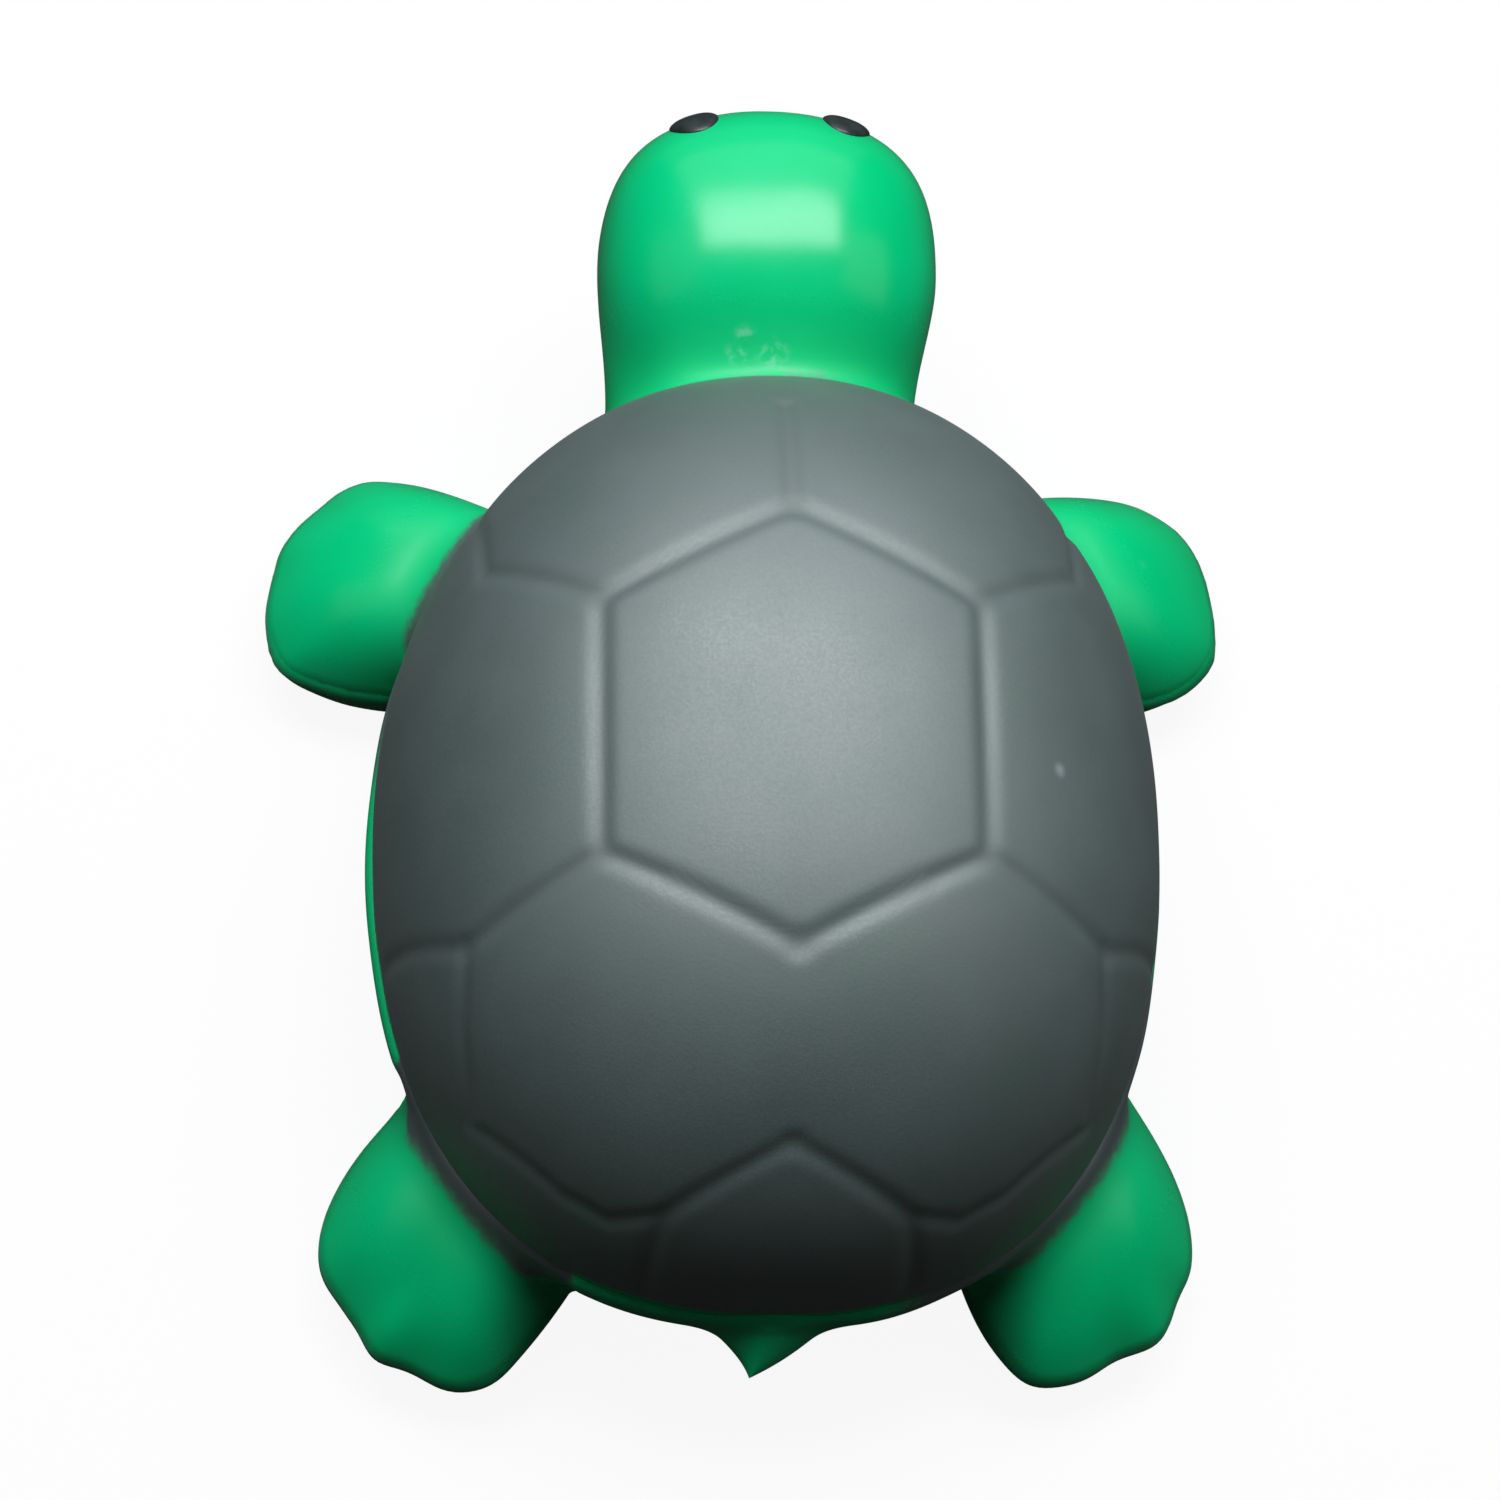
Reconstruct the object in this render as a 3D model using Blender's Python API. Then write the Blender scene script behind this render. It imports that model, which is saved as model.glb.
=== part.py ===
"""Foam turtle squeeze toy: a soft torso under a grooved shell, with a head, eyes, legs and a tail.

Metres, +Z up. The turtle faces -Y, its left side is +X and its belly lies flat on Z = 0.
Squeezing presses the shell straight down into the torso, so the shell's origin is on that line.
"""

import math

import bmesh
import bpy
from mathutils import Vector

# Fits
CLEARANCE = 0.0003          # between pieces that touch
SQUEEZE_TRAVEL = 0.008      # how far the shell sinks when the toy is squeezed

# Reach of the toy past the two ends of its shell
NOSE_OVERHANG = 0.0215
TOE_OVERHANG = 0.0031

# Shell, a dome on a level rim
SHELL_WIDTH = 0.0584
SHELL_LENGTH = 0.0716
SHELL_RISE = 0.0297         # rim to crown
SHELL_FRONT_POWER = 2.10    # plan curve ahead of the widest line, where 2 is an ellipse
SHELL_REAR_POWER = 2.35
SHELL_CROWN_POWER = 2.1     # side profile

# Grooves between the scutes
GROOVE_WIDTH = 0.0019
GROOVE_DEPTH = 0.0007
SCUTE_WIDTH = 0.0271        # six-sided middle scute
SCUTE_LENGTH = 0.0328       # point to point
SCUTE_SIDE = 0.0189         # its straight sides
SCUTE_AHEAD = 0.0005        # its middle, ahead of the shell's
FORK_SHARE = 0.82           # crown to rim, where the side grooves fork
FRONT_FORK_BEARING = 29.0   # degrees ahead of straight out to the side
REAR_FORK_BEARING = 22.7    # degrees behind straight out to the side
FRONT_FORK_TURN = 12.0      # bearing gained from the fork to the rim
REAR_FORK_TURN = 8.0        # bearing lost from the fork to the rim
CHEVRON_SHARE = 0.78        # crown to rim, tip of the tail scute
CHEVRON_END_SHARE = 0.91
CHEVRON_END_BEARING = 74.6
MARGIN_SHARE = 0.94         # line that runs along the rear rim
MARGIN_START_BEARING = 40.5
MARGIN_END_BEARING = 66.0
RIM_OVERRUN_SHARE = 1.08    # where a groove that leaves the dome ends

# Torso, a bowl under the shell
TORSO_HEIGHT = 0.0150
FLANK_STEP = 0.0005         # how far the flank stands out past the shell's rim
BELLY_WIDTH = 0.0370
BOWL_POWER = 2.25           # fullness of the flank

# Head and neck
HEAD_WIDTH = 0.0260
HEAD_LENGTH = 0.0245
HEAD_TOP = 0.0318
HEAD_CHIN = 0.0090
HEAD_POWER = 2.25
NECK_WIDTH = 0.0248
NECK_LENGTH = 0.0280        # from inside the head to inside the body
NECK_TOP = 0.0238
NECK_THROAT = 0.0045
NECK_POWER = 2.8

# Eyes, raised ovals
EYE_SPACING = 0.0122
EYE_DROP = 0.0052           # eye's centre below the head's top
EYE_WIDTH = 0.0038
EYE_TALL = 0.0056
EYE_RAISE = 0.0009
EYE_POWER = 2.0

# Front paws, rounded plans with three toes
FRONT_PAW_INSET = 0.0027    # paw's centre, in from the shell's side
FRONT_PAW_SETBACK = 0.0130  # paw's centre, back from the shell's front end
FRONT_PAW_LENGTH = 0.0212
FRONT_PAW_WIDTH = 0.0174
FRONT_PAW_HEIGHT = 0.0128
FRONT_PAW_HEADING = 7.0     # degrees forward of straight out

# Rear paws
REAR_PAW_INSET = 0.0069
REAR_PAW_LENGTH = 0.0214
REAR_PAW_WIDTH = 0.0184
REAR_PAW_HEIGHT = 0.0125
REAR_PAW_HEADING = -50.0    # negative, so backward of straight out

# Common to the paws
PAW_POWER = 2.7
PAW_FLARE = 0.08            # share of its width that a paw gains at its root
PAW_TAPER = 0.18            # share of its height that a paw loses at the toes
SOLE_WIDTH_SHARE = 0.86     # flat sole against the paw's widest part
TOE_PITCH = 40.0            # degrees between toes, seen from the paw's centre
TOE_NOTCH = 0.0008

# Tail, a short pointed stub
TAIL_WIDTH = 0.0116         # at its thickest
TAIL_HEIGHT = 0.0060
TAIL_OVERHANG = 0.0019      # tip past the shell's rear end
TAIL_LENGTH = 0.0042        # thickest part to tip
TAIL_ROOT = 0.0060          # thickest part to its end inside the torso
TAIL_BEND = 0.0010          # tip to the turtle's left

# Facets
SHELL_SEGMENTS = 56
SHELL_RINGS = 28
TORSO_SEGMENTS = 56
TORSO_RINGS = 20
HEAD_SEGMENTS = 32
HEAD_RINGS = 16
PAW_SEGMENTS = 36
PAW_RINGS = 10
EYE_SEGMENTS = 16
EYE_RINGS = 8
TAIL_SEGMENTS = 20
TAIL_RINGS = 12
GROOVE_STEP = 0.0030        # spacing of points along a groove
GROOVE_SAMPLES = 80         # points that its length is measured on
SHARP_ANGLE = 40.0
WELD = 1e-6

# Places that follow from the sizes
SHELL_MIDDLE_Y = (NOSE_OVERHANG - TOE_OVERHANG) / 2
RIM_HEIGHT = TORSO_HEIGHT + CLEARANCE
LOWEST_RIM = RIM_HEIGHT - SQUEEZE_TRAVEL - CLEARANCE
MIDDLE = Vector((0.0, SHELL_MIDDLE_Y, 0.0))
SHELL_HALF = (SHELL_WIDTH / 2, SHELL_LENGTH / 2)
TORSO_HALF = (SHELL_HALF[0] + FLANK_STEP, SHELL_HALF[1] + FLANK_STEP)


def clear_scene():
    for item in list(bpy.data.objects):
        bpy.data.objects.remove(item, do_unlink=True)


def new_collection(name, parent):
    collection = bpy.data.collections.new(name)
    parent.children.link(collection)
    return collection


clear_scene()
PARTS = new_collection("squeeze_turtle", bpy.context.scene.collection)
CUTTERS = new_collection("cutters", bpy.context.scene.collection)
GROOVES = new_collection("groove_cutters", CUTTERS)

TOY = bpy.data.objects.new("toy", None)
PARTS.objects.link(TOY)


def srgb(red, green, blue):
    """Linear colour for a Principled BSDF from 8-bit sRGB values."""
    def linear(value):
        value /= 255
        return value / 12.92 if value <= 0.04045 else ((value + 0.055) / 1.055) ** 2.4
    return (linear(red), linear(green), linear(blue), 1.0)


FOAM_GREEN = srgb(6, 200, 128)
PAINT_GREY = srgb(78, 87, 87)
PAINT_BLACK = srgb(30, 36, 34)
FOAM_ROUGHNESS = 0.42
GREY_ROUGHNESS = 0.55
BLACK_ROUGHNESS = 0.35


def add_material(item, colour, roughness):
    material = bpy.data.materials.new(item.name)
    material.use_nodes = True
    shader = material.node_tree.nodes["Principled BSDF"]
    shader.inputs["Base Color"].default_value = colour
    shader.inputs["Roughness"].default_value = roughness
    shader.inputs["Metallic"].default_value = 0.0
    item.data.materials.append(material)


def add_object(name, form, collection=PARTS, location=(0.0, 0.0, 0.0), turn=0.0):
    """Object from a bmesh, turned by degrees about Z and placed under the toy's empty."""
    mesh = bpy.data.meshes.new(name)
    bmesh.ops.recalc_face_normals(form, faces=form.faces)
    form.to_mesh(mesh)
    form.free()
    mesh.shade_smooth()
    mesh.set_sharp_from_angle(angle=math.radians(SHARP_ANGLE))
    item = bpy.data.objects.new(name, mesh)
    collection.objects.link(item)
    item.parent = TOY
    item.location = location
    item.rotation_euler.z = math.radians(turn)
    if collection is not PARTS:
        item.hide_render = True
        item.display_type = "WIRE"
    return item


def add_boolean(item, other, operation="DIFFERENCE"):
    modifier = item.modifiers.new(f"{operation.lower()}_{other.name}", "BOOLEAN")
    modifier.operation = operation
    modifier.solver = "EXACT"
    if isinstance(other, bpy.types.Collection):
        modifier.operand_type = "COLLECTION"
        modifier.collection = other
    else:
        modifier.object = other


def unit_sphere(segments, rings):
    form = bmesh.new()
    bmesh.ops.create_uvsphere(form, u_segments=segments, v_segments=rings, radius=1.0)
    return form


def cut_level(form, height, keep_above):
    """Cut a closed form at a height, keep one side and close it with a flat face."""
    geometry = form.verts[:] + form.edges[:] + form.faces[:]
    bmesh.ops.bisect_plane(
        form,
        geom=geometry,
        plane_co=(0.0, 0.0, height),
        plane_no=(0.0, 0.0, 1.0),
        clear_inner=keep_above,
        clear_outer=not keep_above,
    )
    rim = [edge for edge in form.edges if edge.is_boundary]
    bmesh.ops.holes_fill(form, edges=rim)


def power(value, exponent):
    """Power of a value's size that keeps its sign."""
    return math.copysign(abs(value) ** exponent, value)


def plan_power(y):
    return SHELL_FRONT_POWER if y < 0 else SHELL_REAR_POWER


def plan_point(x, y, half):
    """Point on the shell's plan outline in the direction of x, y on a unit circle."""
    exponent = 2 / plan_power(y)
    return half[0] * power(x, exponent), half[1] * power(y, exponent)


def plan_share(x, y):
    """How far a plan point lies from the crown, 0, to the rim, 1."""
    exponent = plan_power(y)
    share = abs(x / SHELL_HALF[0]) ** exponent + abs(y / SHELL_HALF[1]) ** exponent
    return share ** (1 / exponent)


def half_dome(segments, rings, half, rise, fullness, upward):
    """Half of a rounded form with the shell's plan, its flat face at Z = 0."""
    form = unit_sphere(segments, rings)
    cut_level(form, 0.0, keep_above=upward)
    for vert in form.verts:
        across = math.hypot(vert.co.x, vert.co.y)
        if across < WELD:
            vert.co = (0.0, 0.0, power(vert.co.z, 2 / fullness) * rise)
            continue
        x, y = plan_point(vert.co.x / across, vert.co.y / across, half)
        spread = across ** (2 / fullness)
        vert.co = (x * spread, y * spread, power(vert.co.z, 2 / fullness) * rise)
    return form


def rounded(segments, rings, half, fullness):
    """Closed rounded form, where a fullness of 2 is an ellipsoid and more is boxier."""
    form = unit_sphere(segments, rings)
    for vert in form.verts:
        size = sum(abs(value) ** fullness for value in vert.co) ** (1 / fullness)
        vert.co = [value / size * length for value, length in zip(vert.co, half)]
    return form


def shell_surface(x, y):
    """Point and outward normal on the dome over a plan point, in the shell's own frame.
    Plan points past the rim run down the side below it."""
    share = plan_share(x, y)
    if share >= 1:
        return Vector((x / share, y / share, -(share - 1) * SHELL_RISE)), Vector((x, y, 0)).normalized()
    exponent = plan_power(y)
    height = (1 - share ** SHELL_CROWN_POWER) ** (1 / SHELL_CROWN_POWER)
    slope = share ** (SHELL_CROWN_POWER - exponent)
    normal = Vector((
        slope * power(x / SHELL_HALF[0], exponent - 1) / SHELL_HALF[0],
        slope * power(y / SHELL_HALF[1], exponent - 1) / SHELL_HALF[1],
        height ** (SHELL_CROWN_POWER - 1) / SHELL_RISE,
    ))
    return Vector((x, y, height * SHELL_RISE)), normal.normalized()


def even_points(points, step):
    """Points at even distances along a line, with its first and last point kept."""
    lengths = [0.0]
    for a, b in zip(points, points[1:]):
        lengths.append(lengths[-1] + (b - a).length)
    count = max(1, round(lengths[-1] / step))
    spaced = []
    piece = 0
    for index in range(count + 1):
        wanted = lengths[-1] * index / count
        while piece < len(points) - 2 and lengths[piece + 1] < wanted:
            piece += 1
        span = lengths[piece + 1] - lengths[piece]
        spaced.append(points[piece].lerp(points[piece + 1], (wanted - lengths[piece]) / span))
    return spaced


def groove_run(start, end):
    """Points of a groove's centre line over the dome between two plan points."""
    lift = groove_section()[1]
    run = []
    for index in range(GROOVE_SAMPLES + 1):
        x, y = Vector(start).lerp(Vector(end), index / GROOVE_SAMPLES)
        point, normal = shell_surface(x, y)
        run.append(point + normal * lift)
    return even_points(run, GROOVE_STEP)


def groove_section():
    """Radius of a round cutter, and the height of its middle over the dome."""
    radius = (GROOVE_WIDTH ** 2 / 4 + GROOVE_DEPTH ** 2) / (2 * GROOVE_DEPTH)
    return radius, radius - GROOVE_DEPTH


def add_groove(name, corners, closed=False):
    """Round cutter that follows the dome through plan corners."""
    pairs = list(zip(corners, corners[1:]))
    if closed:
        pairs.append((corners[-1], corners[0]))
    points = []
    for start, end in pairs:
        points += groove_run(start, end)[:-1]
    if not closed:
        points.append(groove_run(*pairs[-1])[-1])
    curve = bpy.data.curves.new(name, "CURVE")
    curve.dimensions = "3D"
    curve.bevel_depth = groove_section()[0]
    curve.bevel_resolution = 2
    curve.use_fill_caps = True
    spline = curve.splines.new("POLY")
    spline.points.add(len(points) - 1)
    spline.use_cyclic_u = closed
    for target, point in zip(spline.points, points):
        target.co = (*point, 1.0)
    wire = bpy.data.objects.new(name, curve)
    GROOVES.objects.link(wire)
    bpy.context.view_layer.update()
    evaluated = wire.evaluated_get(bpy.context.evaluated_depsgraph_get())
    tube = bmesh.new()
    mesh = bpy.data.meshes.new_from_object(evaluated)
    tube.from_mesh(mesh)
    bpy.data.objects.remove(wire, do_unlink=True)
    bmesh.ops.remove_doubles(tube, verts=tube.verts, dist=WELD)
    add_object(f"{name}_cutter", tube, GROOVES, shell_location())


def shell_location():
    return MIDDLE + Vector((0.0, 0.0, RIM_HEIGHT))


def shell_plan(bearing, share, side=1):
    """Plan point at degrees behind straight out to the side, and a share of the way to the rim."""
    angle = math.radians(bearing)
    x, y = plan_point(math.cos(angle), math.sin(angle), SHELL_HALF)
    return side * x * share, y * share


def add_grooves():
    front_point = -SCUTE_LENGTH / 2 - SCUTE_AHEAD
    rear_point = SCUTE_LENGTH / 2 - SCUTE_AHEAD
    front_shoulder = -SCUTE_SIDE / 2 - SCUTE_AHEAD
    rear_shoulder = SCUTE_SIDE / 2 - SCUTE_AHEAD
    across = SCUTE_WIDTH / 2
    left_half = [(0, front_point), (across, front_shoulder), (across, rear_shoulder)]
    right_half = [(0, rear_point), (-across, rear_shoulder), (-across, front_shoulder)]
    add_groove("middle_scute", left_half + right_half, closed=True)
    add_groove("nape", [(0, front_point), shell_plan(-90, RIM_OVERRUN_SHARE)])
    for name, side in (("left", 1), ("right", -1)):
        front_fork = shell_plan(-FRONT_FORK_BEARING, FORK_SHARE, side)
        rear_fork = shell_plan(REAR_FORK_BEARING, FORK_SHARE, side)
        margin_start = shell_plan(MARGIN_START_BEARING, MARGIN_SHARE, side)
        margin_end = shell_plan(MARGIN_END_BEARING, MARGIN_SHARE, side)
        chevron_end = shell_plan(CHEVRON_END_BEARING, CHEVRON_END_SHARE, side)
        front_rim = shell_plan(-FRONT_FORK_BEARING - FRONT_FORK_TURN, RIM_OVERRUN_SHARE, side)
        rear_rim = shell_plan(REAR_FORK_BEARING - REAR_FORK_TURN, RIM_OVERRUN_SHARE, side)
        add_groove(f"{name}_front", [(side * across, front_shoulder), front_fork, front_rim])
        add_groove(f"{name}_rear", [(side * across, rear_shoulder), rear_fork, rear_rim])
        add_groove(f"{name}_margin", [rear_fork, margin_start, margin_end, chevron_end])
        add_groove(f"{name}_chevron", [(0, SHELL_HALF[1] * CHEVRON_SHARE), chevron_end])
        tail_rim = shell_plan(CHEVRON_END_BEARING, RIM_OVERRUN_SHARE, side)
        add_groove(f"{name}_tail_line", [chevron_end, tail_rim])


def add_shell():
    form = half_dome(SHELL_SEGMENTS, SHELL_RINGS, SHELL_HALF, SHELL_RISE, SHELL_CROWN_POWER, upward=True)
    shell = add_object("shell", form, location=shell_location())
    add_material(shell, PAINT_GREY, GREY_ROUGHNESS)
    add_grooves()
    add_boolean(shell, GROOVES)


def bowl(grow):
    """Torso form with its flat top at TORSO_HEIGHT and its belly at Z = 0, larger by grow."""
    half = (TORSO_HALF[0] + grow, TORSO_HALF[1] + grow)
    belly_share = BELLY_WIDTH / 2 / TORSO_HALF[0]
    depth = TORSO_HEIGHT / (1 - belly_share ** BOWL_POWER) ** (1 / BOWL_POWER)
    form = half_dome(TORSO_SEGMENTS, TORSO_RINGS, half, depth + grow, BOWL_POWER, upward=False)
    bmesh.ops.translate(form, verts=form.verts, vec=(0.0, 0.0, TORSO_HEIGHT))
    return form


def add_torso():
    form = bowl(0.0)
    cut_level(form, 0.0, keep_above=True)
    torso = add_object("torso", form, location=MIDDLE)
    add_material(torso, FOAM_GREEN, FOAM_ROUGHNESS)


def add_rooms():
    """Cutters for the room that the torso, the shell's travel and the shell take from other pieces."""
    torso_room = add_object("torso_room", bowl(CLEARANCE), CUTTERS, MIDDLE)
    half = (SHELL_HALF[0] + CLEARANCE, SHELL_HALF[1] + CLEARANCE)
    rise = SHELL_RISE + CLEARANCE
    dome = half_dome(SHELL_SEGMENTS, SHELL_RINGS, half, rise, SHELL_CROWN_POWER, upward=True)
    shell_room = add_object("shell_room", dome, CUTTERS, shell_location())
    sweep = bmesh.new()
    depth = RIM_HEIGHT + CLEARANCE - LOWEST_RIM
    bmesh.ops.create_cone(
        sweep,
        cap_ends=True,
        segments=SHELL_SEGMENTS,
        radius1=1.0,
        radius2=1.0,
        depth=depth,
    )
    for vert in sweep.verts:
        x, y = plan_point(vert.co.x, vert.co.y, half)
        vert.co = (x, y, vert.co.z - depth / 2 + CLEARANCE)
    travel_room = add_object("travel_room", sweep, CUTTERS, shell_location())
    return torso_room, travel_room, shell_room


def head_half(grow=0.0):
    return (HEAD_WIDTH / 2 + grow, HEAD_LENGTH / 2 + grow, (HEAD_TOP - HEAD_CHIN) / 2 + grow)


def head_middle():
    ahead = SHELL_HALF[1] + NOSE_OVERHANG - HEAD_LENGTH / 2
    return MIDDLE + Vector((0.0, -ahead, (HEAD_TOP + HEAD_CHIN) / 2))


def add_head(rooms):
    """Head with its neck, which runs back into the body and is cut by it."""
    ball = rounded(HEAD_SEGMENTS, HEAD_RINGS, head_half(), HEAD_POWER)
    head = add_object("head", ball, location=head_middle())
    neck_size = (NECK_WIDTH / 2, NECK_LENGTH / 2, (NECK_TOP - NECK_THROAT) / 2)
    neck_middle = (0.0, head_middle().y + NECK_LENGTH / 2, (NECK_TOP + NECK_THROAT) / 2)
    tube = rounded(HEAD_SEGMENTS, HEAD_RINGS, neck_size, NECK_POWER)
    neck = add_object("neck", tube, CUTTERS, neck_middle)
    add_boolean(head, neck, "UNION")
    for room in rooms:
        add_boolean(head, room)
    add_material(head, FOAM_GREEN, FOAM_ROUGHNESS)


def add_eyes():
    ball = rounded(HEAD_SEGMENTS, HEAD_RINGS, head_half(CLEARANCE), HEAD_POWER)
    room = add_object("head_room", ball, CUTTERS, head_middle())
    half = head_half()
    middle = head_middle()
    for name, side in (("left_eye", 1), ("right_eye", -1)):
        x = side * EYE_SPACING / 2
        z = half[2] - EYE_DROP
        rest = 1 - abs(x / half[0]) ** HEAD_POWER - abs(z / half[2]) ** HEAD_POWER
        y = -half[1] * rest ** (1 / HEAD_POWER)
        normal = Vector([power(v / h, HEAD_POWER - 1) / h for v, h in zip((x, y, z), half)])
        form = rounded(EYE_SEGMENTS, EYE_RINGS, (EYE_WIDTH / 2, EYE_TALL / 2, EYE_RAISE), EYE_POWER)
        eye = add_object(name, form, location=middle + Vector((x, y, z)))
        eye.rotation_euler = normal.to_track_quat("Z", "Y").to_euler()
        add_boolean(eye, room)
        add_material(eye, PAINT_BLACK, BLACK_ROUGHNESS)


def toe_factor(angle, notch):
    """Plan radius near the toes: 1 on a toe, less by notch between two toes."""
    turn = math.degrees(angle) / TOE_PITCH
    if abs(turn) > 1:
        return 1.0
    return 1 - notch * (1 - abs(math.cos(math.pi * turn)))


def paw(length, width, height):
    """Paw that points along +X, with its flat sole at Z = 0."""
    half = (length / 2, width / 2)
    below = (1 - SOLE_WIDTH_SHARE ** PAW_POWER) ** (1 / PAW_POWER)
    rise = height / (1 + below)
    form = unit_sphere(PAW_SEGMENTS, PAW_RINGS)
    for vert in form.verts:
        size = sum(abs(value) ** PAW_POWER for value in vert.co) ** (1 / PAW_POWER)
        along, across, up = vert.co / size
        level = math.hypot(vert.co.x, vert.co.y) ** 2
        toe = toe_factor(math.atan2(vert.co.y, vert.co.x), level * TOE_NOTCH / half[0])
        flare = 1 + PAW_FLARE * (1 - along) / 2
        taper = 1 - PAW_TAPER * (1 + along) / 2 if up > 0 else 1.0
        vert.co = (along * half[0] * toe, across * half[1] * toe * flare, (up * taper + below) * rise)
    cut_level(form, 0.0, keep_above=True)
    return form


def rear_extent(sizes, heading):
    """How far a left paw reaches back from its own centre."""
    form = paw(*sizes)
    angle = math.radians(-heading)
    reach = max(vert.co.x * math.sin(angle) + vert.co.y * math.cos(angle) for vert in form.verts)
    form.free()
    return reach


def add_legs(rooms):
    front_sizes = (FRONT_PAW_LENGTH, FRONT_PAW_WIDTH, FRONT_PAW_HEIGHT)
    rear_sizes = (REAR_PAW_LENGTH, REAR_PAW_WIDTH, REAR_PAW_HEIGHT)
    front_paw_y = FRONT_PAW_SETBACK - SHELL_HALF[1]
    rear_paw_y = SHELL_HALF[1] + TOE_OVERHANG - rear_extent(rear_sizes, REAR_PAW_HEADING)
    pairs = (
        ("front", FRONT_PAW_INSET, front_paw_y, FRONT_PAW_HEADING, front_sizes),
        ("rear", REAR_PAW_INSET, rear_paw_y, REAR_PAW_HEADING, rear_sizes),
    )
    for end, inset, y, heading, sizes in pairs:
        for name, side in (("left", 1), ("right", -1)):
            location = MIDDLE + Vector((side * (SHELL_HALF[0] - inset), y, 0.0))
            turn = -heading if side > 0 else 180 + heading
            leg = add_object(f"{end}_{name}_leg", paw(*sizes), location=location, turn=turn)
            for room in rooms:
                add_boolean(leg, room)
            add_material(leg, FOAM_GREEN, FOAM_ROUGHNESS)


def add_tail(rooms):
    """Tail at the level that the pressed shell comes down to, with a root that the torso cuts off."""
    form = unit_sphere(TAIL_SEGMENTS, TAIL_RINGS)
    for vert in form.verts:
        x, y, z = vert.co
        along = TAIL_LENGTH * (1 - math.hypot(x, y)) if z > 0 else TAIL_ROOT * z
        bend = TAIL_BEND * max(along / TAIL_LENGTH, 0) ** 2
        vert.co = (x * TAIL_WIDTH / 2 + bend, along - TAIL_LENGTH, y * TAIL_HEIGHT / 2)
    location = MIDDLE + Vector((0.0, SHELL_HALF[1] + TAIL_OVERHANG, LOWEST_RIM))
    tail = add_object("tail", form, location=location)
    for room in rooms:
        add_boolean(tail, room)
    add_material(tail, FOAM_GREEN, FOAM_ROUGHNESS)


def build():
    add_shell()
    add_torso()
    torso_room, travel_room, shell_room = add_rooms()
    add_head((torso_room, travel_room, shell_room))
    add_eyes()
    add_legs((torso_room, travel_room))
    add_tail((torso_room, travel_room))


build()
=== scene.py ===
"""Looks of the foam turtle squeeze toy: one green foam casting, a grey painted shell and black painted eyes.

Metres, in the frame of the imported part: +Z up, the turtle faces -Y and its left side is +X.
The foam casting is the surface where a distance function is zero: rounded forms that flow into each other.
"""

import math

import bmesh
import bpy
import numpy as np
from mathutils import Euler, Matrix, Vector


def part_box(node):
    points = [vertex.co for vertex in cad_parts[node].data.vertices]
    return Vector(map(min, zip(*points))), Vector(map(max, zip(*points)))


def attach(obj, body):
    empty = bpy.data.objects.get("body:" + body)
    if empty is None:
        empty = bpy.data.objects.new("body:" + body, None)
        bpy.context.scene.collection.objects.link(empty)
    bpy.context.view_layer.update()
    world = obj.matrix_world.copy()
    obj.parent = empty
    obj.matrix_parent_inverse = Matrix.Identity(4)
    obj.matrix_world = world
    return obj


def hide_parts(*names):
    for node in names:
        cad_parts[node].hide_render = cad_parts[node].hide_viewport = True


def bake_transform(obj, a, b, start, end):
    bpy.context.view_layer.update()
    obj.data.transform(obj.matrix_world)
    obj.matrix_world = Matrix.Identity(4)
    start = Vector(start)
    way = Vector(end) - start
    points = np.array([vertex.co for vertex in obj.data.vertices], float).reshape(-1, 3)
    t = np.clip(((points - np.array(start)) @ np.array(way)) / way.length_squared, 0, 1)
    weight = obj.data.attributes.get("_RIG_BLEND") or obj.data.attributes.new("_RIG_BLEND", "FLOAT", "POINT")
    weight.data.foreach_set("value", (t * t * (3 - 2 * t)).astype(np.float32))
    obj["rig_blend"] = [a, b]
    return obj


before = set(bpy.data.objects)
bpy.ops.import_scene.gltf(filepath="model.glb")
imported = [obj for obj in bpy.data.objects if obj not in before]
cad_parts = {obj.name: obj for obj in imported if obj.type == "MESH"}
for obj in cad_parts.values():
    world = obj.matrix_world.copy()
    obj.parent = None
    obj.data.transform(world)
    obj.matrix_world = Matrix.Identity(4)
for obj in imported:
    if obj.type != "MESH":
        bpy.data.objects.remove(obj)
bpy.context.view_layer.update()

FOAM_NODES = (
    "torso", "head", "tail", "front_left_leg", "front_right_leg", "rear_left_leg", "rear_right_leg",
)

# Places from the frame
SHELL_LOW, SHELL_HIGH = (np.array(corner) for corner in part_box("shell"))
TORSO_LOW, TORSO_HIGH = (np.array(corner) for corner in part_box("torso"))
HEAD_LOW, HEAD_HIGH = (np.array(corner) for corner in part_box("head"))
SHELL_HALF = (SHELL_HIGH - SHELL_LOW)[:2] / 2
TORSO_HALF = (TORSO_HIGH - TORSO_LOW)[:2] / 2
RIM = SHELL_LOW[2]
RISE = SHELL_HIGH[2] - RIM
MIDDLE = np.array((0.0, (SHELL_LOW[1] + SHELL_HIGH[1]) / 2, 0.0))

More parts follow.
